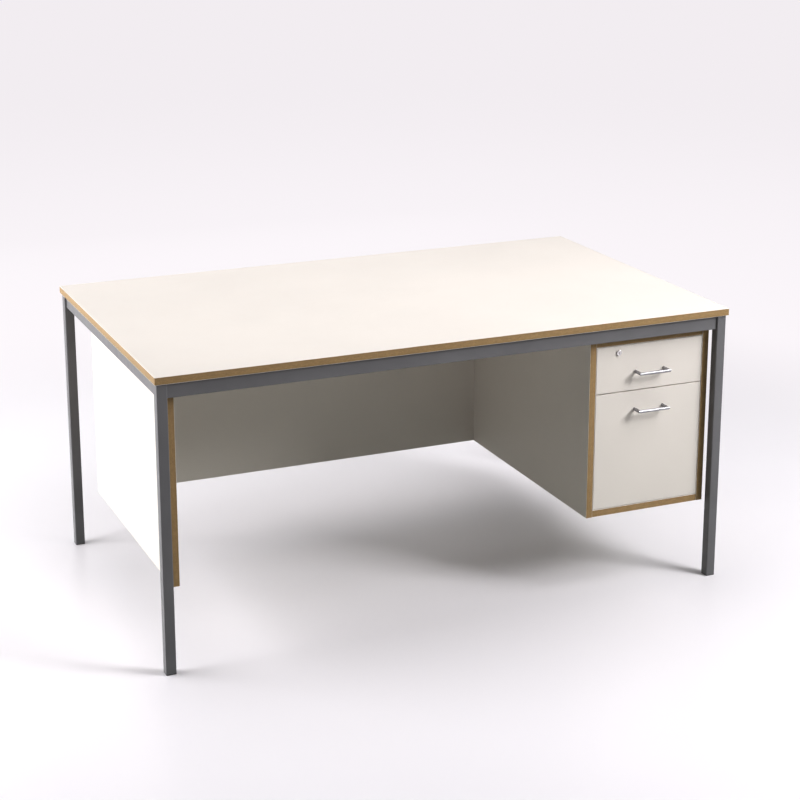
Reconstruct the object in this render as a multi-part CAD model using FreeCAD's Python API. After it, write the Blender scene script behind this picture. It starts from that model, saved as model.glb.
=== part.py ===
import FreeCAD, Part
import math
import os

# Teacher's desk: a laminated MDF top on a welded steel frame, with an end panel on the left, a
# modesty panel set in from the rear, and a hung two-drawer pedestal on the right.
# Frame: millimetres, +X towards the pedestal, -Y towards the sitter, +Z up.
# Origin: on the floor, under the centre of the top.

# ---------------------------------------------------------------- driving dimensions
DESK_WIDTH = 1500
DESK_DEPTH = 900
DESK_HEIGHT = 725
BOARD = 18                  # every laminated board, faces included
LAMINATE = 0.8              # one face
ARRIS = 0.4                 # eased edge of a laminate
CORNER_RADIUS = 2           # corners of the top, in plan

TUBE = 25                   # square leg tube
TUBE_WALL = 1.5
TUBE_RADIUS = 2.5
LEG_OVERHANG = 5            # the top passes the legs by this much all round
RAIL_WIDTH = 20
RAIL_HEIGHT = 36
RAIL_RADIUS = 2

PANEL_BOTTOM = 205          # lower edge of the pedestal, end panel and modesty panel
PANEL_FRONT = -415          # front edges of the pedestal and the end panel
MODESTY_FRONT = 245
PANEL_SPACER = 5            # between a side rail and the board beside it

PEDESTAL_WIDTH = 343
BACK_THICKNESS = 12
CAM_INSET = 24              # from a pedestal side's inner face to a cam's axis
CAM_RADIUS = 7.5
CAM_DEPTH = 12.5
PIN_RADIUS = 2.5            # the connecting pin that a cam pulls on
DOWEL_RADIUS = 4
DOWEL_LENGTH = 30
DRAWER_SPLIT = 529.75       # middle of the gap between the two drawer fronts
FRONT_GAP = 1.5             # round a drawer front
SPLIT_GAP = 2.5             # between the drawer fronts

RUNNER_SPACE = 12.7         # from a pedestal side to the drawer side
RUNNER_STEEL = 1.2
CABINET_MEMBER = (0, 9.7, 22.5)     # web and lip from the pedestal side, half height
MIDDLE_MEMBER = (3, 11, 17.6)
DRAWER_MEMBER = (12.7, 6, 12.5)
DRAWER_LENGTH = 500
DRAWER_SIDE = 12
GROOVE = 6                  # how far a drawer bottom sits in the boards around it
UPPER_BOX = (537, 627)      # lower and upper edge of the drawer sides
LOWER_BOX = (237, 512)
UPPER_RUNNER_Z = 582
LOWER_RUNNER_Z = 330

HANDLE_CENTRES = 82
HANDLE_REACH = 28           # from the drawer front to the axis of the bar
HANDLE_RADIUS = 4
HANDLE_TAP = 8              # how far a screw goes into a handle's leg
UPPER_HANDLE_Z = 579.5
LOWER_HANDLE_Z = 480.5

LOCK_X = 453
LOCK_Z = 633.5
LOCK_HEAD = 3.5             # how far the lock stands out of the drawer front
LOCK_HEAD_RADIUS = 7
LOCK_BARREL = 6             # radius of the housing behind its head
LOCK_PLUG = 4.5             # radius
LOCK_NUT = 4                # thickness
LOCK_CAM_STEEL = 2
LOCK_CAM_REACH = 19
LOCK_CAM_HALF = 5           # half the width of the cam's blade
FILE_RAIL_CENTRES = 330     # A4 suspension files
FIT = 0.05                  # play round a screw, dowel or pin

WOOD_SCREW = 2              # radius of the chipboard screws
SCREW_LENGTH = 15           # the short chipboard screws
RUNNER_SCREW = 1.75         # radius
BOLT_RADIUS = 3             # M6
BOLT_HOLE = 3.25
BOLT_GRIP = 12              # how far a bolt reaches into a steel tube
RIVET_SLEEVE = 4.4          # radius of a rivet nut
RIVET_FLANGE_RADIUS = 6
RIVET_FLANGE = 0.8          # thickness

# ---------------------------------------------------------------- levels and places
TOP_UNDERSIDE = DESK_HEIGHT - BOARD
RAIL_BOTTOM = TOP_UNDERSIDE - RAIL_HEIGHT
LEG_OUTER_X = DESK_WIDTH / 2 - LEG_OVERHANG
LEG_OUTER_Y = DESK_DEPTH / 2 - LEG_OVERHANG
LEG_INNER_X = LEG_OUTER_X - TUBE
LEG_INNER_Y = LEG_OUTER_Y - TUBE

PANEL_OUTER_X = LEG_INNER_X - PANEL_SPACER
PEDESTAL_LEFT = PANEL_OUTER_X - PEDESTAL_WIDTH
PEDESTAL_MIDDLE = PANEL_OUTER_X - PEDESTAL_WIDTH / 2
INSIDE_LEFT = PEDESTAL_LEFT + BOARD
INSIDE_RIGHT = PANEL_OUTER_X - BOARD
INSIDE_BOTTOM = PANEL_BOTTOM + BOARD
INSIDE_TOP = RAIL_BOTTOM - BOARD
MODESTY_BACK = MODESTY_FRONT + BOARD
DRAWER_FACE = PANEL_FRONT
BOX_FRONT = DRAWER_FACE + BOARD
BOX_BACK = BOX_FRONT + DRAWER_LENGTH
BOX_LEFT = INSIDE_LEFT + RUNNER_SPACE
BOX_RIGHT = INSIDE_RIGHT - RUNNER_SPACE
CAM_FRONT = BOX_FRONT + LOCK_NUT + 2.5

X, Y, Z = 0, 1, 2


# ---------------------------------------------------------------- helpers
def export(name, solids):
    shape = solids[0] if len(solids) == 1 else Part.makeCompound(solids)
    shape.exportStep("parts/" + name + ".step")


def box(x, y, z):
    """A box from three (low, high) pairs."""
    solid = Part.makeBox(x[1] - x[0], y[1] - y[0], z[1] - z[0])
    solid.translate(FreeCAD.Vector(x[0], y[0], z[0]))
    return solid


def rod(radius, start, direction, length):
    return Part.makeCylinder(radius, length, FreeCAD.Vector(*start), FreeCAD.Vector(*direction))


def aim(solid, point, direction):
    """Turns a solid made along +Z to a direction and moves its origin to a point."""
    turn = FreeCAD.Rotation(FreeCAD.Vector(0, 0, 1), FreeCAD.Vector(*direction))
    solid.Placement = FreeCAD.Placement(FreeCAD.Vector(*point), turn)
    return solid


def cut(solid, tools):
    """Cuts the tools from a solid and keeps it one solid."""
    return solid.cut(Part.makeCompound(tools)).Solids[0] if tools else solid


def cut_all(solids, tools):
    return [cut(solid, tools) for solid in solids]


def mirrored(solids):
    """The same solids on the other side of the pedestal's middle plane."""
    return [s.mirror(FreeCAD.Vector(PEDESTAL_MIDDLE, 0, 0), FreeCAD.Vector(1, 0, 0)) for s in solids]


def edges_along(solid, axis):
    found = []
    for edge in solid.Edges:
        span = edge.Vertexes[-1].Point - edge.Vertexes[0].Point
        if abs(abs(span[axis]) - edge.Length) < 1e-6:
            found.append(edge)
    return found


def edges_on(solid, axis, level):
    """Edges that lie wholly on a plane across an axis."""
    found = []
    for edge in solid.Edges:
        bounds = edge.BoundBox
        low = (bounds.XMin, bounds.YMin, bounds.ZMin)[axis]
        high = (bounds.XMax, bounds.YMax, bounds.ZMax)[axis]
        if abs(low - level) < 1e-4 and abs(high - level) < 1e-4:
            found.append(edge)
    return found


def board(x, y, z, across, corner=0):
    """A laminated board: the MDF core, then the laminate on its low and its high face."""
    low, high = (x, y, z)[across]
    layers = []
    for span in ((low + LAMINATE, high - LAMINATE), (low, low + LAMINATE), (high - LAMINATE, high)):
        spans = [x, y, z]
        spans[across] = span
        layer = box(*spans)
        if corner:
            layer = layer.makeFillet(corner, edges_along(layer, across))
        layers.append(layer)
    core, low_face, high_face = layers
    low_face = low_face.makeChamfer(ARRIS, edges_on(low_face, across, low))
    high_face = high_face.makeChamfer(ARRIS, edges_on(high_face, across, high))
    return core, [low_face, high_face]


def tube(x, y, z, along, radius):
    """Rectangular steel tube with rounded corners and open ends."""
    outer = box(x, y, z)
    outer = outer.makeFillet(radius, edges_along(outer, along))
    spans = [(a + TUBE_WALL, b - TUBE_WALL) for a, b in (x, y, z)]
    spans[along] = (x, y, z)[along]
    inner = box(*spans)
    inner = inner.makeFillet(max(radius - TUBE_WALL, 0.5), edges_along(inner, along))
    return outer.cut(inner).Solids[0]


def screw(point, direction, length, radius=WOOD_SCREW, head_radius=4, head=2.4):
    """A pan-head screw with a cross recess. The point is where the head seats."""
    cap = Part.makeCylinder(head_radius, head, FreeCAD.Vector(0, 0, -head))
    cap = cap.makeFillet(head * 0.6, edges_on(cap, Z, -head))
    solid = cap.fuse(Part.makeCylinder(radius, length - radius))
    tip = Part.makeCone(radius, radius * 0.25, radius, FreeCAD.Vector(0, 0, length - radius))
    solid = solid.fuse(tip).removeSplitter()
    arm = head_radius * 0.45
    slot = radius * 0.22
    depth = head * 0.55
    cross = [box((-arm, arm), (-slot, slot), (-head - 1, depth - head)),
             box((-slot, slot), (-arm, arm), (-head - 1, depth - head))]
    return aim(cut(solid, cross), point, direction)


def hexagon(radius, height):
    """A hexagonal prism along +Z. The radius is to its corners."""
    corners = []
    for i in range(7):
        angle = math.radians(60 * i)
        corners.append(FreeCAD.Vector(radius * math.cos(angle), radius * math.sin(angle), 0))
    return Part.Face(Part.makePolygon(corners)).extrude(FreeCAD.Vector(0, 0, height))


def bolt(point, direction, length):
    """An M6 button-head bolt with a hexagon socket."""
    head = 3.3
    cap = Part.makeCylinder(5.25, head, FreeCAD.Vector(0, 0, -head))
    cap = cap.makeFillet(2.2, edges_on(cap, Z, -head))
    solid = cap.fuse(Part.makeCylinder(BOLT_RADIUS, length)).removeSplitter()
    socket = hexagon(2.3, 2)
    socket.translate(FreeCAD.Vector(0, 0, -head))
    return aim(cut(solid, [socket]), point, direction)


def rivet_nut(point, direction):
    """An M6 rivet nut: its flange lies on the tube wall, its sleeve goes in along the direction."""
    length = 13
    sleeve = Part.makeCylinder(RIVET_SLEEVE, length)
    flange = Part.makeCylinder(RIVET_FLANGE_RADIUS, RIVET_FLANGE, FreeCAD.Vector(0, 0, -RIVET_FLANGE))
    bore = Part.makeCylinder(BOLT_RADIUS + FIT, length + 1, FreeCAD.Vector(0, 0, -RIVET_FLANGE))
    return aim(flange.fuse(sleeve).removeSplitter().cut(bore).Solids[0], point, direction)


def hole(point, direction, depth, radius):
    """A cutter from just above a face down to a depth."""
    start = [p - d * 5 for p, d in zip(point, direction)]
    return rod(radius, start, direction, depth + 5)


# ---------------------------------------------------------------- places of the fastenings
LUG_X = (-600, -110, 250, 560)
LUG_Y = ((-1, 340), (1, -100), (1, 340))     # side of the frame, place along it
LUG_SIZE = (30, 22, 3)
BRACKET_X = (-500, -110, 250)
BRACKET_Z = (300, 600)
BRACKET_LEG = 40
BRACKET_WIDTH = 30
BRACKET_STEEL = 2
BRACKET_HOLE = 25           # from the bracket's corner to a screw
END_BOLT_Y = (-330, -75, 180)
END_BOLT_Z = RAIL_BOTTOM + RAIL_HEIGHT / 2
BACK_SCREW_INSET = 60       # from the inside of the pedestal to the screws in its back
HANGER_X = (406, 681)
HANGER_Y = (-330, 160)
CAM_Y = (-350, 190)
DOWEL_STEP = 50             # from a cam to the dowel behind it
CABINET_SCREW_Y = (BOX_FRONT + 40, BOX_FRONT + 240, BOX_BACK - 40)
DRAWER_SCREW_Y = (BOX_FRONT + 60, BOX_FRONT + 270, BOX_BACK - 60)


def lugs():
    """Welded lugs that carry the top: (x span, y span, screw x, screw y)."""
    length, depth, _ = LUG_SIZE
    rows = []
    for x in LUG_X:
        for side in (-1, 1):
            rail = side * LEG_INNER_Y
            y = tuple(sorted((rail, rail - side * depth)))
            rows.append(((x - length / 2, x + length / 2), y, x, rail - side * depth * 0.6))
    for side, y in LUG_Y:
        rail = side * LEG_INNER_X
        x = tuple(sorted((rail, rail - side * depth)))
        rows.append((x, (y - length / 2, y + length / 2), rail - side * depth * 0.6, y))
    return rows


def angle_bracket(corner, leg_a, leg_b, width_axis, middle):
    """A bent steel angle with a leg along each of two directions from its inside corner."""
    plates = []
    for along, across in ((leg_a, leg_b), (leg_b, leg_a)):
        spans = [None, None, None]
        for axis in range(3):
            if axis == width_axis:
                spans[axis] = (middle - BRACKET_WIDTH / 2, middle + BRACKET_WIDTH / 2)
            elif along[axis]:
                spans[axis] = tuple(sorted((corner[axis], corner[axis] + along[axis] * BRACKET_LEG)))
            else:
                spans[axis] = tuple(sorted((corner[axis], corner[axis] + across[axis] * BRACKET_STEEL)))
        plates.append(box(*spans))
    solid = plates[0].fuse(plates[1]).removeSplitter()
    bend = [e for e in edges_along(solid, width_axis)
            if all(abs(e.BoundBox.Center[a] - corner[a]) < 0.01 for a in range(3) if a != width_axis)]
    return solid.makeFillet(BRACKET_STEEL, bend)


# ---------------------------------------------------------------- steel frame
def frame():
    foot = 2
    legs = {}
    for name, sx, sy in (("front_left", -1, -1), ("front_right", 1, -1),
                         ("rear_left", -1, 1), ("rear_right", 1, 1)):
        x = tuple(sorted((sx * LEG_INNER_X, sx * LEG_OUTER_X)))
        y = tuple(sorted((sy * LEG_INNER_Y, sy * LEG_OUTER_Y)))
        legs[name] = (x, y)
        export("leg_" + name, [tube(x, y, (foot, TOP_UNDERSIDE), Z, TUBE_RADIUS)])

    inserts = []
    for x, y in legs.values():
        sole = box(x, y, (0, foot))
        sole = sole.makeFillet(TUBE_RADIUS, edges_along(sole, Z))
        sole = sole.makeChamfer(0.5, edges_on(sole, Z, 0))
        plug = foot_layer(x, y, 2.7, (foot, 24))
        for level in (5, 11, 17):
            plug = plug.fuse(foot_layer(x, y, 1.6, (level, level + 1.2)))
        well = foot_layer(x, y, 5, (foot + 1.5, 25))
        inserts.append(sole.fuse(plug).cut(well).removeSplitter())
    export("foot_inserts", inserts)

    long_x = (-LEG_INNER_X, LEG_INNER_X)
    long_y = (-LEG_INNER_Y, LEG_INNER_Y)
    rail_z = (RAIL_BOTTOM, TOP_UNDERSIDE)
    wall_hole = TUBE_WALL + 2.5
    sleeve_hole = RIVET_SLEEVE + FIT
    nut_holes = [hole((-LEG_INNER_X, y, END_BOLT_Z), (-1, 0, 0), wall_hole, sleeve_hole) for y in END_BOLT_Y]
    export("rail_front", [tube(long_x, (-LEG_INNER_Y - RAIL_WIDTH, -LEG_INNER_Y), rail_z, X, RAIL_RADIUS)])
    export("rail_rear", [tube(long_x, (LEG_INNER_Y, LEG_INNER_Y + RAIL_WIDTH), rail_z, X, RAIL_RADIUS)])
    left = tube((-LEG_INNER_X - RAIL_WIDTH, -LEG_INNER_X), long_y, rail_z, Y, RAIL_RADIUS)
    export("rail_left", [cut(left, nut_holes)])
    export("rail_right", [tube((LEG_INNER_X, LEG_INNER_X + RAIL_WIDTH), long_y, rail_z, Y, RAIL_RADIUS)])

    for name, x in zip(("inner", "outer"), HANGER_X):
        hanger = tube((x - RAIL_WIDTH / 2, x + RAIL_WIDTH / 2), long_y, rail_z, Y, RAIL_RADIUS)
        holes = [hole((x, y, RAIL_BOTTOM), (0, 0, 1), wall_hole, sleeve_hole) for y in HANGER_Y]
        export("pedestal_hanger_" + name, [cut(hanger, holes)])

    plates = []
    for x, y, screw_x, screw_y in lugs():
        plate = box(x, y, (TOP_UNDERSIDE - LUG_SIZE[2], TOP_UNDERSIDE))
        under = (screw_x, screw_y, TOP_UNDERSIDE - 10)
        plates.append(cut(plate, [rod(WOOD_SCREW + 0.2, under, (0, 0, 1), 20)]))
    export("top_fixing_lugs", plates)


def foot_layer(x, y, inset, z):
    """One layer of a foot's plug, inset from the leg's outer faces, with rounded corners."""
    layer = box((x[0] + inset, x[1] - inset), (y[0] + inset, y[1] - inset), z)
    return layer.makeFillet(1.3, edges_along(layer, Z))


# ---------------------------------------------------------------- top, end panel and modesty panel
def panels():
    screws = []
    brackets = []
    top_holes = []
    for _, _, x, y in lugs():
        point = (x, y, TOP_UNDERSIDE - LUG_SIZE[2])
        screws.append(screw(point, (0, 0, 1), SCREW_LENGTH))
        top_holes.append(hole(point, (0, 0, 1), SCREW_LENGTH + 1, WOOD_SCREW + FIT))

    modesty_holes = []
    end_holes = []
    for x in BRACKET_X:
        corner = (x, MODESTY_BACK, TOP_UNDERSIDE)
        angle = angle_bracket(corner, (0, 1, 0), (0, 0, -1), X, x)
        up = (x, MODESTY_BACK + BRACKET_HOLE, TOP_UNDERSIDE - BRACKET_STEEL)
        forward = (x, MODESTY_BACK + BRACKET_STEEL, TOP_UNDERSIDE - BRACKET_HOLE)
        holes = [hole(up, (0, 0, 1), SCREW_LENGTH, WOOD_SCREW + FIT),
                 hole(forward, (0, -1, 0), SCREW_LENGTH, WOOD_SCREW + FIT)]
        brackets.append(cut(angle, holes))
        screws += [screw(up, (0, 0, 1), SCREW_LENGTH - 1), screw(forward, (0, -1, 0), SCREW_LENGTH - 1)]
        top_holes.append(holes[0])
        modesty_holes.append(holes[1])
    end_inner = -PANEL_OUTER_X + BOARD
    for z in BRACKET_Z:
        corner = (end_inner, MODESTY_FRONT, z)
        angle = angle_bracket(corner, (1, 0, 0), (0, -1, 0), Z, z)
        back = (end_inner + BRACKET_HOLE, MODESTY_FRONT - BRACKET_STEEL, z)
        left = (end_inner + BRACKET_STEEL, MODESTY_FRONT - BRACKET_HOLE, z)
        holes = [hole(back, (0, 1, 0), SCREW_LENGTH, WOOD_SCREW + FIT),
                 hole(left, (-1, 0, 0), SCREW_LENGTH, WOOD_SCREW + FIT)]
        brackets.append(cut(angle, holes))
        screws += [screw(back, (0, 1, 0), SCREW_LENGTH - 1), screw(left, (-1, 0, 0), SCREW_LENGTH - 1)]
        modesty_holes.append(holes[0])
        end_holes.append(holes[1])
    back_holes = []
    back_screw = BOARD + BACK_THICKNESS - 2
    for x in (INSIDE_LEFT + BACK_SCREW_INSET, INSIDE_RIGHT - BACK_SCREW_INSET):
        for z in BRACKET_Z:
            point = (x, MODESTY_BACK, z)
            screws.append(screw(point, (0, -1, 0), back_screw))
            back_holes.append(hole(point, (0, -1, 0), back_screw + 0.5, WOOD_SCREW + FIT))
    export("panel_brackets", brackets)
    export("chipboard_screws", screws)

    core, faces = board((-DESK_WIDTH / 2, DESK_WIDTH / 2), (-DESK_DEPTH / 2, DESK_DEPTH / 2),
                        (TOP_UNDERSIDE, DESK_HEIGHT), Z, CORNER_RADIUS)
    export("desktop_core", [cut(core, top_holes)])
    export("desktop_laminates", cut_all(faces, top_holes))

    bolts = []
    nuts = []
    spacers = []
    for y in END_BOLT_Y:
        bolts.append(bolt((end_inner, y, END_BOLT_Z), (-1, 0, 0), BOARD + PANEL_SPACER + BOLT_GRIP))
        nuts.append(rivet_nut((-LEG_INNER_X, y, END_BOLT_Z), (-1, 0, 0)))
        spacer = rod(9, (-PANEL_OUTER_X, y, END_BOLT_Z), (-1, 0, 0), PANEL_SPACER)
        spacers.append(cut(spacer, [
            rod(BOLT_HOLE, (end_inner, y, END_BOLT_Z), (-1, 0, 0), 60),
            rod(RIVET_FLANGE_RADIUS + 0.2, (-LEG_INNER_X, y, END_BOLT_Z), (1, 0, 0), RIVET_FLANGE + 0.1)]))
        end_holes.append(hole((end_inner, y, END_BOLT_Z), (-1, 0, 0), BOARD + 2, BOLT_HOLE))
    export("end_panel_spacers", spacers)

    core, faces = board((-PANEL_OUTER_X, end_inner), (PANEL_FRONT, MODESTY_BACK),
                        (PANEL_BOTTOM, TOP_UNDERSIDE), X)
    export("end_panel_core", [cut(core, end_holes)])
    export("end_panel_laminates", cut_all(faces, end_holes))

    half = RAIL_WIDTH / 2 + 1
    notch_y = (MODESTY_FRONT - 5, MODESTY_BACK + 5)
    notches = [box((x - half, x + half), notch_y, (RAIL_BOTTOM - 1, TOP_UNDERSIDE + 5)) for x in HANGER_X]
    core, faces = board((end_inner, PANEL_OUTER_X), (MODESTY_FRONT, MODESTY_BACK),
                        (PANEL_BOTTOM, TOP_UNDERSIDE), Y)
    cutters = modesty_holes + back_holes + notches
    export("modesty_panel_core", [cut(core, cutters)])
    export("modesty_panel_laminates", cut_all(faces, cutters))
    return bolts, nuts, back_holes


# ---------------------------------------------------------------- pedestal carcass
def pedestal(bolts, nuts, back_holes):
    side_y = (PANEL_FRONT, MODESTY_FRONT)
    pin_grip = 11               # how far a pin is screwed into a side
    peg_grip = 10
    deck_tools = []
    side_tools = []
    cams = []
    dowels = []
    for face, outward in ((INSIDE_LEFT, -1), (INSIDE_RIGHT, 1)):
        inward = (-outward, 0, 0)
        for deck_low, mouth, sink in ((PANEL_BOTTOM, INSIDE_BOTTOM, -1), (INSIDE_TOP, INSIDE_TOP, 1)):
            middle = deck_low + BOARD / 2
            for y in CAM_Y:
                cam_at = (face - outward * CAM_INSET, y, mouth)
                cams.append(cam_disc(cam_at, sink))
                pin_start = (face + outward * pin_grip, y, middle)
                cams.append(rod(PIN_RADIUS, pin_start, inward, pin_grip + CAM_INSET - CAM_RADIUS))
                deck_tools.append(hole(cam_at, (0, 0, sink), CAM_DEPTH + 0.3, CAM_RADIUS + FIT))
                side_tools.append(rod(PIN_RADIUS + FIT, pin_start, inward, pin_grip + CAM_INSET + 5))
                deck_tools.append(rod(PIN_RADIUS + FIT, pin_start, inward, pin_grip + CAM_INSET))
                peg_start = (face + outward * peg_grip, y + DOWEL_STEP, middle)
                dowels.append(rod(DOWEL_RADIUS, peg_start, inward, DOWEL_LENGTH))
                side_tools.append(rod(DOWEL_RADIUS + FIT, peg_start, inward, DOWEL_LENGTH + 1))
                deck_tools.append(rod(DOWEL_RADIUS + FIT, peg_start, inward, DOWEL_LENGTH + 1))
    export("carcass_cams", cams)
    export("carcass_dowels", dowels)

    runner_screws = []
    for z in (UPPER_RUNNER_Z, LOWER_RUNNER_Z):
        for y in CABINET_SCREW_Y:
            point = (INSIDE_LEFT + RUNNER_STEEL, y, z)
            runner_screws.append(screw(point, (-1, 0, 0), 13, RUNNER_SCREW, 3.2, 1.1))
            side_tools.append(hole(point, (-1, 0, 0), 13.5, RUNNER_SCREW + FIT))
    right_holes = mirrored(side_tools[-len(runner_screws):])
    export("runner_screws", runner_screws + mirrored(runner_screws))

    for name, x in (("left", (PEDESTAL_LEFT, INSIDE_LEFT)), ("right", (INSIDE_RIGHT, PANEL_OUTER_X))):
        core, faces = board(x, side_y, (PANEL_BOTTOM, RAIL_BOTTOM), X)
        tools = side_tools + right_holes
        export("pedestal_side_%s_core" % name, [cut(core, tools)])
        export("pedestal_side_%s_laminates" % name, cut_all(faces, tools))

    top_tools = list(deck_tools)
    for x in HANGER_X:
        for y in HANGER_Y:
            bolts.append(bolt((x, y, INSIDE_TOP), (0, 0, 1), BOARD + BOLT_GRIP))
            nuts.append(rivet_nut((x, y, RAIL_BOTTOM), (0, 0, 1)))
            top_tools.append(hole((x, y, INSIDE_TOP), (0, 0, 1), BOARD + 2, BOLT_HOLE))
            flange_low = (x, y, RAIL_BOTTOM - RIVET_FLANGE - 0.1)
            top_tools.append(rod(RIVET_FLANGE_RADIUS + 0.2, flange_low, (0, 0, 1), 5))
    export("machine_screws", bolts)
    export("rivet_nuts", nuts)

    plate_x = (LOCK_X - 14, LOCK_X + 14)
    plate_y = (BOX_FRONT - 1, BOX_FRONT + 19)
    slot = box((LOCK_X - 7, LOCK_X + 7), (CAM_FRONT - 1.5, CAM_FRONT + LOCK_CAM_STEEL + 1.5),
               (INSIDE_TOP - 5, INSIDE_TOP + 7))
    striker = box(plate_x, plate_y, (INSIDE_TOP, INSIDE_TOP + 1))
    striker = striker.makeFillet(3, edges_along(striker, Z))
    top_tools += [striker, slot]
    export("lock_striker", [cut(striker, [slot])])

    inside_x = (INSIDE_LEFT, INSIDE_RIGHT)
    core, top_faces = board(inside_x, side_y, (INSIDE_TOP, RAIL_BOTTOM), Z)
    export("pedestal_top_core", [cut(core, top_tools)])
    core, bottom_faces = board(inside_x, side_y, (PANEL_BOTTOM, INSIDE_BOTTOM), Z)
    export("pedestal_bottom_core", [cut(core, deck_tools)])
    export("pedestal_deck_laminates", cut_all(top_faces, top_tools) + cut_all(bottom_faces, deck_tools))

    back = box(inside_x, (MODESTY_FRONT - BACK_THICKNESS, MODESTY_FRONT), (INSIDE_BOTTOM, INSIDE_TOP))
    export("pedestal_back", [cut(back, back_holes)])


def cam_disc(point, sink):
    """A cam fitting: a disc sunk in a board, with a screwdriver slot in its face."""
    disc = Part.makeCylinder(CAM_RADIUS, CAM_DEPTH)
    slot = box((-5, 5), (-0.8, 0.8), (-1, 2))
    grip = box((-9, 9), (-3, 3), (BOARD / 2 - 3, BOARD / 2 + 3))
    return aim(cut(disc, [slot, grip]), point, (0, 0, sink))


# ---------------------------------------------------------------- telescopic runners
def channel(web, lip, half_height, y, z):
    """A C section along Y. The web is at one X, and the flanges reach to the lip's X."""
    outer = box(tuple(sorted((web, lip))), y, (z - half_height, z + half_height))
    corners = [e for e in edges_along(outer, Y) if abs(e.BoundBox.Center.x - web) < 0.01]
    outer = outer.makeFillet(1.8, corners)
    step = RUNNER_STEEL if lip > web else -RUNNER_STEEL
    inner = box(tuple(sorted((web + step, lip + step))), (y[0] - 1, y[1] + 1),
                (z - half_height + RUNNER_STEEL, z + half_height - RUNNER_STEEL))
    corners = [e for e in edges_along(inner, Y) if abs(e.BoundBox.Center.x - web - step) < 0.01]
    return outer.cut(inner.makeFillet(0.6, corners)).Solids[0]


def member(sizes, y, z, screw_y):
    """A left runner member from its (web, lip, half height), with its screw holes."""
    web, lip, half_height = sizes
    solid = channel(INSIDE_LEFT + web, INSIDE_LEFT + lip, half_height, y, z)
    outside = INSIDE_LEFT + web - 5
    return cut(solid, [rod(RUNNER_SCREW + 0.15, (outside, place, z), (1, 0, 0), 8) for place in screw_y])


def runners():
    cabinet_y = (BOX_FRONT + 3, BOX_BACK + 1)
    moving_y = (BOX_FRONT + 3, BOX_BACK - 5)
    fixed = []
    for drawer_name, z in (("upper", UPPER_RUNNER_Z), ("lower", LOWER_RUNNER_Z)):
        cabinet = member(CABINET_MEMBER, cabinet_y, z, CABINET_SCREW_Y)
        middle = member(MIDDLE_MEMBER, moving_y, z, [])
        inner = member(DRAWER_MEMBER, moving_y, z, DRAWER_SCREW_Y)
        fixed += [cabinet] + mirrored([cabinet])
        export(drawer_name + "_middle_runners", [middle] + mirrored([middle]))
        export(drawer_name + "_drawer_runners", [inner] + mirrored([inner]))
    export("cabinet_runners", fixed)


# ---------------------------------------------------------------- drawers
def widened(span, play):
    return (span[0] - play, span[1] + play)


def drawer(name, front_z, box_z, runner_z, handle_z, bottom_thickness, front_tools, side_tools):
    inner_left = BOX_LEFT + DRAWER_SIDE
    inner_right = BOX_RIGHT - DRAWER_SIDE
    bottom_low = box_z[0] + 10
    bottom_x = (inner_left - GROOVE, inner_right + GROOVE)
    bottom_y = (BOX_FRONT - GROOVE, BOX_BACK - DRAWER_SIDE + GROOVE)
    bottom_z = (bottom_low, bottom_low + bottom_thickness)
    export(name + "_drawer_bottom", [box(bottom_x, bottom_y, bottom_z)])
    groove = box(widened(bottom_x, 0.2), widened(bottom_y, 0.2), widened(bottom_z, 0.1))

    screws = []
    holes = []
    for y in DRAWER_SCREW_Y:
        point = (BOX_LEFT - RUNNER_STEEL, y, runner_z)
        screws.append(screw(point, (1, 0, 0), 11, RUNNER_SCREW, 3.2, 1.4))
        holes.append(hole(point, (1, 0, 0), 11.5, RUNNER_SCREW + FIT))
    screws += mirrored(screws)
    holes += mirrored(holes)
    box_y = (BOX_FRONT, BOX_BACK)
    for side, x in (("left", (BOX_LEFT, inner_left)), ("right", (inner_right, BOX_RIGHT))):
        wall = box(x, box_y, box_z)
        export("%s_drawer_side_%s" % (name, side), [cut(wall, [groove] + holes + side_tools)])
    back = box((inner_left, inner_right), (BOX_BACK - DRAWER_SIDE, BOX_BACK), box_z)
    export(name + "_drawer_back", [cut(back, [groove])])

    posts = (PEDESTAL_MIDDLE - HANDLE_CENTRES / 2, PEDESTAL_MIDDLE + HANDLE_CENTRES / 2)
    tools = [groove] + front_tools
    for x in posts:
        point = (x, BOX_FRONT, handle_z)
        screws.append(screw(point, (0, -1, 0), BOARD + HANDLE_TAP))
        tools.append(hole(point, (0, -1, 0), BOARD + 2, WOOD_SCREW + 0.2))
    export(name + "_drawer_screws", screws)
    export(name + "_handle", [handle(posts, handle_z)])

    front_x = (INSIDE_LEFT + FRONT_GAP, INSIDE_RIGHT - FRONT_GAP)
    core, faces = board(front_x, (DRAWER_FACE, BOX_FRONT), front_z, Y)
    export(name + "_front_core", [cut(core, tools)])
    export(name + "_front_laminates", cut_all(faces, tools))


def handle(posts, z):
    """A round bar with mitred corners, tapped at both ends."""
    left, right = posts
    bar_y = DRAWER_FACE - HANDLE_REACH
    path = Part.makePolygon([FreeCAD.Vector(left, DRAWER_FACE, z), FreeCAD.Vector(left, bar_y, z),
                             FreeCAD.Vector(right, bar_y, z), FreeCAD.Vector(right, DRAWER_FACE, z)])
    start = FreeCAD.Vector(left, DRAWER_FACE, z)
    section = Part.Wire(Part.makeCircle(HANDLE_RADIUS, start, FreeCAD.Vector(0, -1, 0)))
    mitred = 1
    solid = path.makePipeShell([section], True, True, mitred)
    depth = HANDLE_TAP + 1
    return cut(solid, [hole((x, DRAWER_FACE, z), (0, -1, 0), depth, WOOD_SCREW + FIT) for x in posts])


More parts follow.
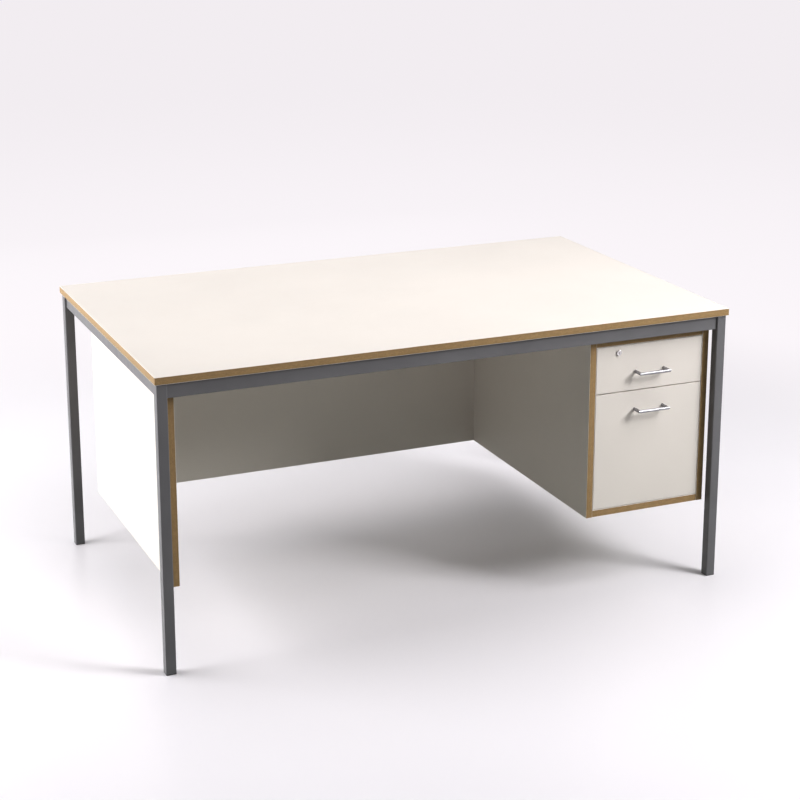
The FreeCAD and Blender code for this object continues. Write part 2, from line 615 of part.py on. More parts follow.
def drawers():
    lock_hole = rod(LOCK_BARREL + FIT, (LOCK_X, DRAWER_FACE - 5, LOCK_Z), (0, 1, 0), BOARD + 10)
    upper_front = (DRAWER_SPLIT + SPLIT_GAP / 2, INSIDE_TOP - FRONT_GAP)
    lower_front = (INSIDE_BOTTOM + FRONT_GAP, DRAWER_SPLIT - SPLIT_GAP / 2)
    drawer("upper", upper_front, UPPER_BOX, UPPER_RUNNER_Z, UPPER_HANDLE_Z, 4, [lock_hole], [])

    first_rail = BOX_FRONT + 25
    rail_x = (BOX_LEFT + 3, BOX_RIGHT - 3)
    rail_z = (LOWER_BOX[1] - 12, LOWER_BOX[1] + 3)
    file_rails = []
    notches = []
    for y in (first_rail, first_rail + FILE_RAIL_CENTRES):
        rail = box(rail_x, (y - 1, y + 1), rail_z)
        file_rails.append(rail.makeFillet(0.6, edges_along(rail, X)))
        notches.append(box(widened(rail_x, 0.1), (y - 1.1, y + 1.1), (rail_z[0] - 0.1, rail_z[1] + 2)))
    export("filing_rails", file_rails)
    drawer("lower", lower_front, LOWER_BOX, LOWER_RUNNER_Z, LOWER_HANDLE_Z, 6, [], notches)


# ---------------------------------------------------------------- lock
def lock():
    """A cam lock. Its plug carries the cam, which points left when it is unlocked."""
    front = DRAWER_FACE - LOCK_HEAD
    forward = (0, 1, 0)

    def along(radius, start, length):
        return rod(radius, (LOCK_X, start, LOCK_Z), forward, length)

    head = along(LOCK_HEAD_RADIUS, front, LOCK_HEAD)
    head = head.makeFillet(0.9, edges_on(head, Y, front))
    barrel = along(LOCK_BARREL, DRAWER_FACE, CAM_FRONT - 0.4 - DRAWER_FACE)
    bore = along(LOCK_PLUG + FIT, front - 1, 60)
    recess = along(LOCK_PLUG + 0.8, front - 1, 1.5)
    housing = cut(head.fuse(barrel).removeSplitter(), [bore, recess])
    nut = aim(hexagon(9.2, LOCK_NUT), (LOCK_X, BOX_FRONT, LOCK_Z), forward)
    nut = cut(nut, [along(LOCK_BARREL + FIT, BOX_FRONT - 1, 20)])
    export("lock_housing", [housing, nut])

    plug_front = front + 0.2
    plug = along(LOCK_PLUG, plug_front, CAM_FRONT - plug_front)
    plug = plug.makeFillet(0.4, edges_on(plug, Y, plug_front))
    spigot = 3
    plug = plug.fuse(along(spigot, CAM_FRONT, LOCK_CAM_STEEL)).removeSplitter()
    cam_back = (LOCK_X, CAM_FRONT + LOCK_CAM_STEEL, LOCK_Z)
    keeper = screw(cam_back, (0, -1, 0), 7, 1.5, 4.2, 2)
    keeper_hole = hole(cam_back, (0, -1, 0), 7.5, 1.5 + FIT)
    key_y = (front - 1, front + 12)
    keyway = box((LOCK_X - 0.6, LOCK_X + 0.6), key_y, (LOCK_Z - 3.2, LOCK_Z + 3.2))
    ward = box((LOCK_X, LOCK_X + 1.2), key_y, (LOCK_Z + 0.6, LOCK_Z + 1.6))
    export("lock_plug", [cut(plug, [keyway, ward, keeper_hole])])

    blade = box((LOCK_X - LOCK_CAM_REACH, LOCK_X), (CAM_FRONT, CAM_FRONT + LOCK_CAM_STEEL),
                (LOCK_Z - LOCK_CAM_HALF, LOCK_Z + LOCK_CAM_HALF))
    tip = (LOCK_X - LOCK_CAM_REACH, CAM_FRONT, LOCK_Z)
    blade = blade.fuse(rod(LOCK_CAM_HALF, tip, forward, LOCK_CAM_STEEL))
    blade = blade.fuse(along(LOCK_HEAD_RADIUS, CAM_FRONT, LOCK_CAM_STEEL)).removeSplitter()
    blade = cut(blade, [along(spigot + FIT, CAM_FRONT - 1, 5)])
    export("lock_cam", [blade, keeper])


os.makedirs("parts", exist_ok=True)
frame()
pedestal(*panels())
runners()
drawers()
lock()
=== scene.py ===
import math

import bmesh
import bpy
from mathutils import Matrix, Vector


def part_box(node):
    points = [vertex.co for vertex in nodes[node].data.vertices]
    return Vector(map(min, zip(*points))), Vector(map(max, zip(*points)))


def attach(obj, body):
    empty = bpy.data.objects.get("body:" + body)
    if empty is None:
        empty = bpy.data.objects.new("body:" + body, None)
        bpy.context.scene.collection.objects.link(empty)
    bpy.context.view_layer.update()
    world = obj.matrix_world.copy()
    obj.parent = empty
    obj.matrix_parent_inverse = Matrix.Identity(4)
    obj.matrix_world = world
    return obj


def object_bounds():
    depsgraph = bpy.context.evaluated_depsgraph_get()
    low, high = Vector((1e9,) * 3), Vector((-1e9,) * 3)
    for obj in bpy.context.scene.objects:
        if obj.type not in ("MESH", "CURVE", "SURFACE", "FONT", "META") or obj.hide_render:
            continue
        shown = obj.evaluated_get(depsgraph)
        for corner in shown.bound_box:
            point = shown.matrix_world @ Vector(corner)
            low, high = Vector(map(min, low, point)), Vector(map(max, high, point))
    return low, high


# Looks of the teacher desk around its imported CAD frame. Metres, +X towards the pedestal, -Y towards
# the sitter, +Z up, floor at 0.
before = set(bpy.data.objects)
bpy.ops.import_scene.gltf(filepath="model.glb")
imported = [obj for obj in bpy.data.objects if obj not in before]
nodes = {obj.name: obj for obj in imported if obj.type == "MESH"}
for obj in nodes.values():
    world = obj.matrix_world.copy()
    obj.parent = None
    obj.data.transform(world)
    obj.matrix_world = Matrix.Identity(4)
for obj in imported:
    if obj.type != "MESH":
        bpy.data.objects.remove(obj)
cad_low, cad_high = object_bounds()

MM = 0.001

# Colours, linear RGB
WHITE = (0.85, 0.795, 0.75)
MDF_LIGHT = (0.49, 0.337, 0.170)
MDF_MEAN = (0.40, 0.268, 0.131)
MDF_DARK = (0.27, 0.171, 0.077)
GREY_COAT = (0.177, 0.174, 0.183)
# Paler grey for the coat's specks and its corners, where it is partly rub and partly a painted highlight
GREY_RUB_AND_PAINTED_HIGHLIGHT = (0.27, 0.267, 0.275)
PLASTIC_DARK = (0.014, 0.014, 0.015)
PLASTIC_PALE = (0.030, 0.029, 0.030)
PLASTIC_SCRAPED = (0.09, 0.088, 0.085)
ZINC_BLUE = (0.50, 0.525, 0.55)
ZINC_STRAW = (0.545, 0.535, 0.50)
ZINC_ROLLED = (0.42, 0.43, 0.44)
CHROME_DARK = (0.31, 0.307, 0.325)
CHROME_PALE = (0.37, 0.366, 0.385)
NICKEL_DARK = (0.70, 0.685, 0.68)
NICKEL_PALE = (0.78, 0.765, 0.76)
NICKEL_WORN = (0.78, 0.76, 0.74)
BEECH_DARK = (0.56, 0.38, 0.22)
BEECH_PALE = (0.68, 0.50, 0.31)
BEECH_RAY = (0.38, 0.22, 0.11)
FLOOR_COLOUR = (0.88, 0.855, 0.892)
FLOOR_BOUNCE = (0.39, 0.41, 0.38)         # what the floor throws back onto the desk
GLOW_NEAR = (0.962, 0.926, 0.955)
BACKGROUND = (0.904, 0.868, 0.896)

LAMINATE_ROUGHNESS = 0.5
LATHE_RINGS = 6500          # to the metre

# Weld beads
WELD_SIZE = 3.2 * MM
WELD_RIPPLE = 1.5 * MM
WELD_SEGMENTS = 7           # across a bead's quarter round
WELD_END_GAP = 2 * MM

# Ball cages of the runners, from the pedestal side: web, reach of the arms, half height of the ball
# rows, ball radius, and the first and last share of the middle member's length
OUTER_CAGE = (2.85 * MM, 8.4 * MM, 19.45 * MM, 1.75 * MM, 0.5, 0.98)
INNER_CAGE = (4.9 * MM, 10.6 * MM, 14.45 * MM, 1.85 * MM, 0.02, 0.5)
CAGE_STEEL = 0.45 * MM
CAGE_BEND = 1.2 * MM
BALL_PITCH = 15 * MM
BALL_OFFSET = 0.8 * MM      # of a ball from the middle of the cage's arm

# Stage
FLOOR_HALF = 40
FADE = (1.15, 2.7)          # distance from the desk's centre where floor turns into background
GLOW_FADE = (1.0, 9.0)
BOUNCED_GLOW = 0.45         # share of the background's glow that reaches the desk

# Viewpoint
EYE = (-1.81, -4.27, 1.94)
LOOK_DOWN = math.radians(14.9)
LOOK_RIGHT = math.radians(23.4)
LENS = 83.4                 # mm, on a 36 mm sensor
SHIFT = -0.12
TONE_GAMMA = 0.85


# ---------------------------------------------------------------- node graphs
class Graph:
    """A material and the few kinds of node that its recipe needs."""

    def __init__(self, name):
        self.material = bpy.data.materials.new(name)
        self.material.use_nodes = True
        self.tree = self.material.node_tree
        self.shader = self.tree.nodes["Principled BSDF"]
        self.place = self.add("ShaderNodeTexCoord").outputs["Object"]
        self.normal = None

    def add(self, kind, sockets=None, **settings):
        made = self.tree.nodes.new(kind)
        for key, value in settings.items():
            setattr(made, key, value)
        for key, value in (sockets or {}).items():
            self.put(made.inputs[key], value)
        return made

    def put(self, socket, value):
        if isinstance(value, bpy.types.NodeSocket):
            self.tree.links.new(value, socket)
        elif socket.type == "RGBA":
            socket.default_value = (*value[:3], 1)
        else:
            socket.default_value = value

    def set(self, **sockets):
        """Sets sockets of the shader: words in their names are joined by underscores."""
        for key, value in sockets.items():
            self.put(self.shader.inputs[key.replace("_", " ")], value)

    def math(self, operation, a, b=0.0, c=0.0):
        return self.add("ShaderNodeMath", {0: a, 1: b, 2: c}, operation=operation).outputs[0]

    def stretched(self, stretch):
        return self.add("ShaderNodeMapping", {"Vector": self.place, "Scale": stretch}).outputs[0]

    def noise(self, per_metre, detail=2.0, rough=0.5, stretch=None, warp=0.0):
        """Noise from 0 to 1 with so many features to the metre, closer along an axis stretched by over 1."""
        place = self.stretched(stretch) if stretch else self.place
        return self.add("ShaderNodeTexNoise", {"Vector": place, "Scale": per_metre, "Detail": detail,
                                               "Roughness": rough, "Distortion": warp}).outputs["Fac"]

    def spread(self, factor, low, high, to_low, to_high):
        """Takes a factor between low and high to the range to_low..to_high, smoothly."""
        return self.add("ShaderNodeMapRange", {"Value": factor, "From Min": low, "From Max": high,
                                               "To Min": to_low, "To Max": to_high},
                        interpolation_type="SMOOTHSTEP").outputs["Result"]

    def blend(self, factor, first, second):
        """Colour that goes from the first to the second as the factor goes from 0 to 1."""
        made = self.add("ShaderNodeMix", data_type="RGBA")
        self.put(made.inputs["Factor"], factor)
        self.put(made.inputs[6], first)
        self.put(made.inputs[7], second)
        return made.outputs[2]

    def relief(self, height, depth, strength=1.0):
        """Adds a bump of so many metres on top of the earlier ones."""
        sockets = {"Height": height, "Distance": depth, "Strength": strength}
        if self.normal:
            sockets["Normal"] = self.normal
        self.normal = self.add("ShaderNodeBump", sockets).outputs["Normal"]
        self.put(self.shader.inputs["Normal"], self.normal)

    def edges(self, radius):
        """1 on an outer edge, 0 on the flats, from how a rounded normal differs from the real one."""
        rounded = self.add("ShaderNodeBevel", {"Radius": radius}, samples=4).outputs["Normal"]
        true = self.add("ShaderNodeNewGeometry").outputs["Normal"]
        match = self.add("ShaderNodeVectorMath", {0: rounded, 1: true}, operation="DOT_PRODUCT")
        return self.spread(match.outputs["Value"], 0.75, 0.99, 1.0, 0.0)


def tone(colour, gain):
    return tuple(min(c * gain, 1.0) for c in colour)


# ---------------------------------------------------------------- materials
def laminate(name, colour, roughness):
    """Satin decorative laminate: a pearl-fine texture, faint waviness, hand-polished patches and a painted
    highlight on the edges.
    """
    g = Graph(name)
    clouds = g.noise(3.5, 3)
    dust = g.noise(900, 2)
    shade = g.blend(g.spread(clouds, 0.3, 0.7, 0, 1), tone(colour, 0.985), tone(colour, 1.012))
    shade = g.blend(g.spread(dust, 0.64, 0.74, 0, 0.16), shade, tone(colour, 0.8))
    # Edges painted 6% lighter: a painted highlight along the arrises.
    edge_wear_and_painted_highlight = g.edges(1.2 * MM)
    g.set(Base_Color=g.blend(edge_wear_and_painted_highlight, shade, tone(colour, 1.06)))
    patches = g.spread(g.noise(14, 5, 0.6, warp=0.8), 0.35, 0.7, roughness - 0.05, roughness + 0.05)
    fine = g.spread(g.noise(260, 3), 0.3, 0.7, -0.02, 0.02)
    g.set(Roughness=g.math("ADD", patches, fine), IOR=1.5, Specular_IOR_Level=0.16)
    g.relief(g.noise(8, 1), 0.12 * MM, 0.5)
    g.relief(g.noise(2600, 3, 0.6), 0.012 * MM, 0.6)
    return g.material


def mdf_edge(name, low, high, across):
    """Sealed fibreboard seen on its edge: dense dark skins, a paler open middle and short fibres.

    low and high are the board's two faces along the axis across.
    """
    g = Graph(name)
    split = g.add("ShaderNodeSeparateXYZ", {"Vector": g.place}).outputs[across]
    height = g.math("DIVIDE", g.math("SUBTRACT", split, (low + high) / 2), (high - low) / 2)
    skin = g.spread(g.math("ABSOLUTE", height), 0.35, 1.0, 0, 1)
    along = [1.0, 1.0, 1.0]
    along[across] = 3.2
    fibres = g.noise(330, 7, 0.68, along, warp=0.35)
    mottle = g.noise(95, 5, 0.62, along)
    layers = g.noise(14, 2, 0.5, [8.0 if a == across else 1.0 for a in range(3)])
    shade = g.blend(g.spread(fibres, 0.36, 0.64, 0, 1), MDF_DARK, MDF_LIGHT)
    shade = g.blend(0.52, shade, g.blend(g.spread(mottle, 0.35, 0.65, 0, 1), tone(MDF_MEAN, 0.84),
                                         tone(MDF_MEAN, 1.14)))
    shade = g.blend(g.math("MULTIPLY", skin, 0.30), shade, MDF_DARK)
    flecks = g.spread(g.noise(620, 3, 0.6, along), 0.66, 0.75, 0, 0.5)
    shade = g.blend(flecks, shade, tone(MDF_LIGHT, 1.3))
    shade = g.blend(g.spread(layers, 0.4, 0.7, 0, 0.18), shade, MDF_LIGHT)
    g.set(Base_Color=shade, Specular_IOR_Level=0.34)
    g.set(Roughness=g.spread(g.math("ADD", fibres, g.math("MULTIPLY", skin, -0.2)), 0.2, 0.8, 0.44, 0.66))
    g.relief(mottle, 0.08 * MM, 0.35)
    g.relief(fibres, 0.05 * MM, 0.7)
    return g.material


def powder_coat(name):
    """Satin polyester powder on steel: orange peel, and corners painted paler, partly as rubbed thin film
    and partly as a painted highlight.
    """
    g = Graph(name)
    peel = g.noise(520, 2, 0.45)
    drift = g.noise(7, 3)
    shade = g.blend(g.spread(drift, 0.3, 0.7, 0, 1), tone(GREY_COAT, 0.95), tone(GREY_COAT, 1.06))
    grains = g.spread(g.noise(1900, 2), 0.60, 0.72, 0, 0.22)
    shade = g.blend(grains, shade, GREY_RUB_AND_PAINTED_HIGHLIGHT)
    # Paler corners broken up by scuffs: partly rubbed film, partly a painted highlight.
    scuffs = g.spread(g.noise(34, 6, 0.7, warp=1.2), 0.5, 0.72, 0.1, 0.75)
    edge_wear_and_painted_highlight = g.math("MULTIPLY", g.edges(1.6 * MM), scuffs)
    g.set(Base_Color=g.blend(edge_wear_and_painted_highlight, shade, GREY_RUB_AND_PAINTED_HIGHLIGHT))
    rough = g.spread(g.noise(42, 4, 0.6), 0.3, 0.7, 0.36, 0.45)
    g.set(Roughness=g.math("MULTIPLY_ADD", edge_wear_and_painted_highlight, -0.08, rough), IOR=1.5, Specular_IOR_Level=0.5)
    g.relief(peel, 0.045 * MM, 0.55)
    g.relief(g.noise(2400, 2), 0.008 * MM, 0.5)
    return g.material


def moulded_plastic(name):
    """Black polyethylene with a spark-eroded grain, scraped paler where it rubs the floor."""
    g = Graph(name)
    grain = g.noise(1500, 4, 0.65)
    scraped = g.math("MULTIPLY", g.edges(1.0 * MM), g.spread(g.noise(90, 4), 0.4, 0.7, 0, 0.8))
    shade = g.blend(g.spread(grain, 0.3, 0.7, 0, 1), PLASTIC_DARK, PLASTIC_PALE)
    g.set(Base_Color=g.blend(scraped, shade, PLASTIC_SCRAPED))
    g.set(Roughness=g.spread(g.noise(160, 3), 0.3, 0.7, 0.42, 0.6))
    g.relief(grain, 0.03 * MM, 0.6)
    return g.material


def zinc_plate(name, along):
    """Bright zinc on rolled steel: faint blue and straw tints, rolling lines along one axis."""
    g = Graph(name)
    lines = [1.0 if a == along else 40.0 for a in range(3)]
    rolling = g.noise(26, 5, 0.65, lines)
    tint = g.noise(38, 3, 0.5, warp=0.6)
    shade = g.blend(g.spread(tint, 0.35, 0.65, 0, 1), ZINC_BLUE, ZINC_STRAW)
    shade = g.blend(g.spread(rolling, 0.3, 0.7, 0, 0.25), shade, ZINC_ROLLED)
    g.set(Base_Color=shade, Metallic=1.0)
    g.set(Roughness=g.spread(g.math("ADD", rolling, g.noise(240, 3)), 0.7, 1.3, 0.32, 0.42))
    g.relief(rolling, 0.004 * MM, 0.3)
    g.relief(g.noise(900, 3), 0.004 * MM, 0.3)
    return g.material


def satin_chrome(name):
    """Chrome over a fine linished grain that runs along the bar."""
    g = Graph(name)
    grain = g.noise(60, 4, 0.7, (1.0, 45.0, 45.0))
    haze = g.noise(70, 3)
    g.set(Base_Color=g.blend(g.spread(haze, 0.3, 0.7, 0, 1), CHROME_DARK, CHROME_PALE), Metallic=1.0)
    g.set(Roughness=g.spread(g.math("ADD", haze, grain), 0.7, 1.3, 0.35, 0.46))
    g.relief(grain, 0.006 * MM, 0.3)
    return g.material


def turned_nickel(name, axis_x, axis_z):
    """Nickel with the fine rings that a lathe leaves round the lock's axis."""
    g = Graph(name)
    place = g.add("ShaderNodeSeparateXYZ", {"Vector": g.place})
    across = g.math("SUBTRACT", place.outputs["X"], axis_x)
    up = g.math("SUBTRACT", place.outputs["Z"], axis_z)
    radius = g.math("SQRT", g.math("ADD", g.math("MULTIPLY", across, across), g.math("MULTIPLY", up, up)))
    rings = g.add("ShaderNodeTexNoise", {"W": radius, "Scale": LATHE_RINGS, "Detail": 2},
                  noise_dimensions="1D").outputs["Fac"]
    haze = g.noise(420, 3)
    edge_wear_and_painted_highlight = g.edges(0.4 * MM)
    shade = g.blend(g.spread(haze, 0.3, 0.7, 0, 1), NICKEL_DARK, NICKEL_PALE)
    g.set(Base_Color=g.blend(g.math("MULTIPLY", edge_wear_and_painted_highlight, 0.5), shade, NICKEL_WORN), Metallic=1.0)
    g.set(Roughness=g.spread(g.math("ADD", haze, rings), 0.7, 1.3, 0.2, 0.36))
    g.relief(rings, 0.01 * MM, 0.6)
    return g.material


def beech(name):
    """Raw beech with its pores and short brown rays running along X."""
    g = Graph(name)
    grain = g.noise(70, 5, 0.6, (1.0, 9.0, 9.0), warp=0.4)
    rays = g.spread(g.noise(240, 2, 0.5, (1.0, 5.0, 5.0)), 0.62, 0.72, 0, 0.7)
    shade = g.blend(g.spread(grain, 0.35, 0.65, 0, 1), BEECH_DARK, BEECH_PALE)
    g.set(Base_Color=g.blend(rays, shade, BEECH_RAY), Specular_IOR_Level=0.3)
    g.set(Roughness=g.spread(grain, 0.3, 0.7, 0.55, 0.72))
    g.relief(grain, 0.06 * MM, 0.5)
    return g.material


def melamine(name):
    """Drawer board: white melamine with a fine pearl, a trace of the chips beneath and a painted highlight
    on the edges.
    """
    g = Graph(name)
    chips = g.noise(150, 5, 0.7)
    shade = g.blend(g.spread(chips, 0.3, 0.7, 0, 1), tone(WHITE, 0.94), tone(WHITE, 0.99))
    # Edges painted up to 5% lighter: a painted highlight along the arrises.
    g.set(Base_Color=g.blend(g.math("MULTIPLY", g.edges(1.0 * MM), 0.5), shade, tone(WHITE, 1.05)))
    g.set(Roughness=g.spread(g.noise(55, 4), 0.3, 0.7, 0.42, 0.55), Specular_IOR_Level=0.4)
    g.relief(chips, 0.03 * MM, 0.4)
    g.relief(g.noise(1700, 3), 0.012 * MM, 0.6)
    return g.material


def studio_floor(name):
    """Pale satin studio floor that fades, a few metres out, into the evenly lit background.

    It throws less light onto the desk than it shows, as a floor in a dark studio does.
    """
    g = Graph(name)
    clouds = g.noise(0.9, 3)
    shade = g.blend(g.spread(clouds, 0.3, 0.7, 0, 1), tone(FLOOR_COLOUR, 0.995), tone(FLOOR_COLOUR, 1.005))
    away = g.add("ShaderNodeVectorMath", {0: g.place}, operation="LENGTH").outputs["Value"]
    far = g.spread(away, *FADE, 0, 1)
    glow = g.blend(g.spread(away, *GLOW_FADE, 0, 1), GLOW_NEAR, BACKGROUND)
    bounce = g.add("ShaderNodeLightPath").outputs["Is Diffuse Ray"]
    shade = g.blend(bounce, shade, FLOOR_BOUNCE)
    strength = g.math("MULTIPLY", far, g.spread(bounce, 0, 1, 1, BOUNCED_GLOW))
    g.set(Base_Color=g.blend(far, shade, (0, 0, 0)), Emission_Color=glow, Emission_Strength=strength)
    g.set(Roughness=g.spread(far, 0, 1, 0.34, 1.0), Specular_IOR_Level=0.3)
    return g.material


AXES = {"X": 0, "Y": 1, "Z": 2}
BOARD_AXIS = {"desktop_core": "Z", "end_panel_core": "X", "modesty_panel_core": "Y",
              "pedestal_side_left_core": "X", "pedestal_side_right_core": "X",
              "pedestal_top_core": "Z", "pedestal_bottom_core": "Z"}


def paint_frame():
    """Gives every CAD node the finish that the record's slot names."""
    lock_low, lock_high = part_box("lock_plug")
    plain = {"white_laminate": laminate("white_laminate_satin", WHITE, LAMINATE_ROUGHNESS),
             "grey_powder_coat": powder_coat("grey_powder_coat_satin"),
             "black_plastic": moulded_plastic("black_plastic_moulded"),
             "zinc_steel": zinc_plate("zinc_steel_rolled", AXES["Y"]),
             "satin_chrome": satin_chrome("satin_chrome_bar"),
             "nickel": turned_nickel("nickel_turned", (lock_low.x + lock_high.x) / 2,
                                     (lock_low.z + lock_high.z) / 2),
             "beech": beech("beech_raw"),
             "white_board": melamine("white_board_melamine")}
    for name, node in nodes.items():
        slot = node.material_slots[0].material.name.split(".")[0]
        if slot == "mdf":
            axis = AXES[BOARD_AXIS[name]]
            low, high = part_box(name)
            finish = mdf_edge("mdf_" + name, low[axis], high[axis], axis)
        else:
            finish = plain[slot]
        node.material_slots[0].material = finish
    return plain


# ---------------------------------------------------------------- extra pieces
def finish_piece(name, mesh, material, body, smooth=True):
    """Makes an object of a bmesh, with its finish, and lets it ride on a CAD body."""
    bmesh.ops.recalc_face_normals(mesh, faces=mesh.faces)
    data = bpy.data.meshes.new(name)
    mesh.to_mesh(data)
    mesh.free()
    for face in data.polygons:
        face.use_smooth = smooth
    data.materials.append(material)
    piece = bpy.data.objects.new(name, data)
    bpy.context.scene.collection.objects.link(piece)
    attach(piece, body)


def bead(mesh, start, end, first, second):
    """A fillet weld in the corner between two faces, with the ripples of its run.

    first and second point from the corner along each of the two faces.
    """
    start, end, first, second = map(Vector, (start, end, first, second))
    ripples = (end - start).length / WELD_RIPPLE
    steps = max(8, round(ripples * 6))
    rings = []
    for i in range(steps + 1):
        t = i / steps
        ends = min(1.0, 5 * t, 5 * (1 - t)) ** 0.5
        wave = 1 + 0.09 * math.sin(2 * math.pi * t * ripples)
        reach = WELD_SIZE * wave * max(ends, 0.15)
        centre = start.lerp(end, t)
        ring = [mesh.verts.new(centre)]
        for j in range(WELD_SEGMENTS + 1):
            angle = math.pi / 2 * j / WELD_SEGMENTS
            bulge = reach * (1 - 0.22 * math.sin(2 * angle))
            out = first * math.cos(angle) + second * math.sin(angle)
            ring.append(mesh.verts.new(centre + out * bulge))
        rings.append(ring)
    for one, two in zip(rings, rings[1:]):
        for j in range(len(one)):
            k = (j + 1) % len(one)
            mesh.faces.new((one[j], one[k], two[k], two[j]))
    mesh.faces.new(rings[0])
    mesh.faces.new(reversed(rings[-1]))


def welds(material):
    """Weld beads under the rails where they meet the legs, and up both sides of the hangers' ends."""
    mesh = bmesh.new()
    gap = WELD_END_GAP
    for name in ("rail_front", "rail_rear"):
        low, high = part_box(name)
        for x, way in ((low.x, 1), (high.x, -1)):
            bead(mesh, (x, low.y + gap, low.z), (x, high.y - gap, low.z), (way, 0, 0), (0, 0, -1))
    for name in ("rail_left", "rail_right"):
        low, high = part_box(name)
        for y, way in ((low.y, 1), (high.y, -1)):
            bead(mesh, (low.x + gap, y, low.z), (high.x - gap, y, low.z), (0, way, 0), (0, 0, -1))
    for name in ("pedestal_hanger_inner", "pedestal_hanger_outer"):
        low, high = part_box(name)
        for y, way in ((low.y, 1), (high.y, -1)):
            for x, side in ((low.x, -1), (high.x, 1)):
                bead(mesh, (x, y, low.z + gap), (x, y, high.z - 2 * gap), (side, 0, 0), (0, way, 0))
    finish_piece("frame_welds", mesh, material, "desk")


def sheet_run(mesh, outline, y_low, y_high, thickness):
    """A thin sheet bent along an open outline in XZ and drawn out along Y."""
    offset = []
    for i, point in enumerate(outline):
        before = outline[max(i - 1, 0)]
        after = outline[min(i + 1, len(outline) - 1)]
        run = Vector((after[0] - before[0], after[1] - before[1])).normalized()
        offset.append((point[0] - run.y * thickness, point[1] + run.x * thickness))
    loop = list(outline) + offset[::-1]
    ends = [[mesh.verts.new((x, y, z)) for x, z in loop] for y in (y_low, y_high)]
    count = len(loop)
    for i in range(count):
        k = (i + 1) % count
        mesh.faces.new((ends[0][i], ends[0][k], ends[1][k], ends[1][i]))
    for i in range(len(outline) - 1):
        for ring in ends:
            mesh.faces.new((ring[i], ring[i + 1], ring[count - 2 - i], ring[count - 1 - i]))


def ball_cages(drawer, material):
    """The ball cages of one drawer's two runners: a bent strip with a row of balls on each arm."""
    mesh = bmesh.new()
    low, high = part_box(drawer + "_middle_runners")
    cabinet_low, cabinet_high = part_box("cabinet_runners")
    level = (low.z + high.z) / 2
    corner = 0.35 * CAGE_BEND
    for side, way in ((cabinet_low.x, 1), (cabinet_high.x, -1)):
        for web, reach, row, ball, start, end in (OUTER_CAGE, INNER_CAGE):
            y_low = low.y + (high.y - low.y) * start
            y_high = low.y + (high.y - low.y) * end
            lower = [(reach, -row), (web + CAGE_BEND, -row), (web + corner, -row + corner),
                     (web, -row + CAGE_BEND)]
            upper = [(x, -z) for x, z in reversed(lower)]
            outline = [(side + way * x, level + z) for x, z in lower + upper]
            sheet_run(mesh, outline, y_low, y_high, CAGE_STEEL * way)
            count = int((y_high - y_low) / BALL_PITCH)
            spare = y_high - y_low - BALL_PITCH * count
            x = side + way * ((web + reach) / 2 + BALL_OFFSET)
            for i in range(count):
                y = y_low + spare / 2 + BALL_PITCH * (0.5 + i)
                for z in (level - row, level + row):
                    made = bmesh.ops.create_uvsphere(mesh, u_segments=14, v_segments=9, radius=ball)
                    bmesh.ops.translate(mesh, verts=made["verts"], vec=(x, y, z))
    finish_piece(drawer + "_ball_cages", mesh, material, drawer + "_slides", smooth=False)


# ---------------------------------------------------------------- stage, light and camera
def floor_sheet():
    """A wide floor at the level of the feet."""
    mesh = bmesh.new()
    bmesh.ops.create_grid(mesh, x_segments=8, y_segments=8, size=FLOOR_HALF)
    data = bpy.data.meshes.new("studio_floor")
    mesh.to_mesh(data)
    mesh.free()
    data.materials.append(studio_floor("studio_floor_satin"))
    floor = bpy.data.objects.new("studio_floor", data)
    floor.location.z = cad_low.z
    bpy.context.scene.collection.objects.link(floor)


def softbox(name, place, target, size, power):
    """A rectangular soft light at a place, turned to a target, with its radiant power in watts."""
    lamp = bpy.data.lights.new(name, "AREA")
    lamp.shape = "RECTANGLE"
    lamp.size, lamp.size_y = size
    lamp.energy = power
    holder = bpy.data.objects.new(name, lamp)
    holder.location = place
    holder.rotation_euler = (Vector(target) - Vector(place)).to_track_quat("-Z", "Y").to_euler()
    bpy.context.scene.collection.objects.link(holder)


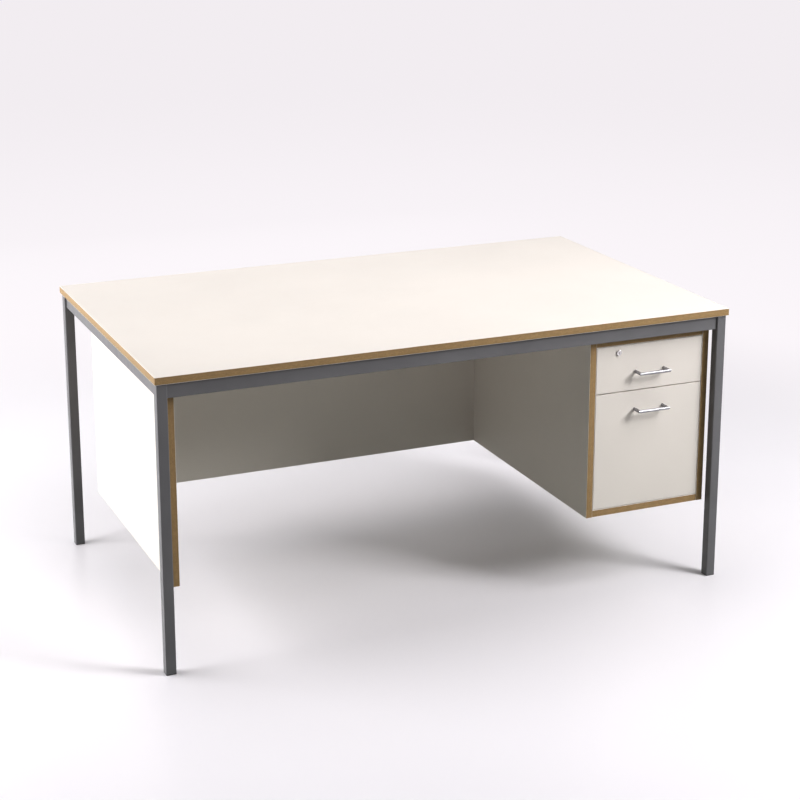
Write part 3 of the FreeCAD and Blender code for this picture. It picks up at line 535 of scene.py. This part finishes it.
def light():
    """Soft studio light: wide boxes above, left and behind, and the key from the right in front.

    The background shows to the camera and lights nothing.
    """
    middle = (0, 0, 0.4)
    left_end = (-0.6, 0, 0.4)
    pedestal = (0.3, -0.2, 0.4)
    softbox("overhead", (0, 0, 4.5), middle, (4.5, 4.5), 30)
    softbox("overhead_strip", (-0.2, 0.4, 2.6), (-0.1, 0.2, 0.4), (2.2, 1.6), 15)
    softbox("left_near", (-3.0, 0.5, 1.25), left_end, (2.0, 1.6), 80)
    softbox("left_rear", (-3.0, 3.5, 1.2), middle, (3.0, 2.0), 80)
    softbox("rear_low", (0.2, 4.0, 1.0), (0, 0, 0.3), (4.0, 1.6), 28)
    softbox("rear_high", (0.5, 5.8, 2.4), middle, (4.5, 3.0), 10)
    softbox("right_rear", (4.5, 4.0, 2.4), middle, (4.0, 3.0), 28)
    softbox("right_high", (3.2, -0.6, 3.0), (0.3, 0, 0.4), (2.0, 2.0), 15)
    softbox("key_high", (1.9, -1.7, 3.2), pedestal, (1.4, 1.4), 45)
    softbox("key_near", (2.25, -2.3, 2.15), (0.4, -0.3, 0.4), (1.0, 1.0), 75)
    world = bpy.data.worlds.new("background")
    bpy.context.scene.world = world
    world.use_nodes = True
    world.node_tree.nodes["Background"].inputs["Color"].default_value = (*BACKGROUND, 1)
    world.cycles_visibility.diffuse = False
    world.cycles_visibility.glossy = False


def camera():
    """The viewpoint: from the front left, above the top, with a long lens."""
    lens = bpy.data.cameras.new("view")
    lens.sensor_width = 36
    lens.lens = LENS
    lens.shift_y = SHIFT
    lens.clip_end = 200
    lens.dof.use_dof = False
    eye = bpy.data.objects.new("view", lens)
    eye.location = EYE
    eye.rotation_euler = (math.pi / 2 - LOOK_DOWN, 0, -LOOK_RIGHT)
    bpy.context.scene.collection.objects.link(eye)
    bpy.context.scene.camera = eye


finishes = paint_frame()
welds(finishes["grey_powder_coat"])
for drawer in ("upper", "lower"):
    ball_cages(drawer, finishes["zinc_steel"])
floor_sheet()
light()
camera()
bpy.context.scene.view_settings.view_transform = "Standard"
bpy.context.scene.view_settings.gamma = TONE_GAMMA
